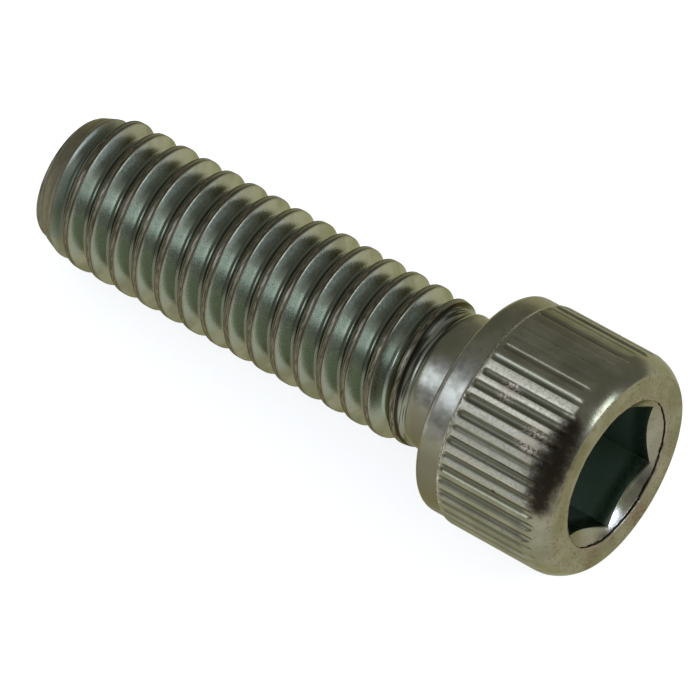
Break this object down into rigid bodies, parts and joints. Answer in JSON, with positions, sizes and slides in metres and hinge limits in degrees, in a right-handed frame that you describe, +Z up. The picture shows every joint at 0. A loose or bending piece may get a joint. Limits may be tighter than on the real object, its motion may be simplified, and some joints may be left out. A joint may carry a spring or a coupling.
{
  "type": "hex socket cap screw",
  "caption": "Fully threaded cap screw with a knurled cylindrical head and a countersunk hexagon socket; clamps parts together when driven with a hex key.",
  "frame": {"origin": "centre of the bearing face under the head, on the screw's axis", "axes": "the screw lies on the floor with +Z up; +X is level and runs from the point's side to the head's, and the screw's own axis rises 4.61 degrees from it towards the head, because the head is thicker than the thread"},
  "size_m": [0.0334, 0.0118, 0.0121],
  "materials": {
    "plating": "zinc plated with a dull olive cast, ridge tops worn bright"
  },
  "bodies": {
    "root": {"screw": "plating"}
  },
  "joints": []
}
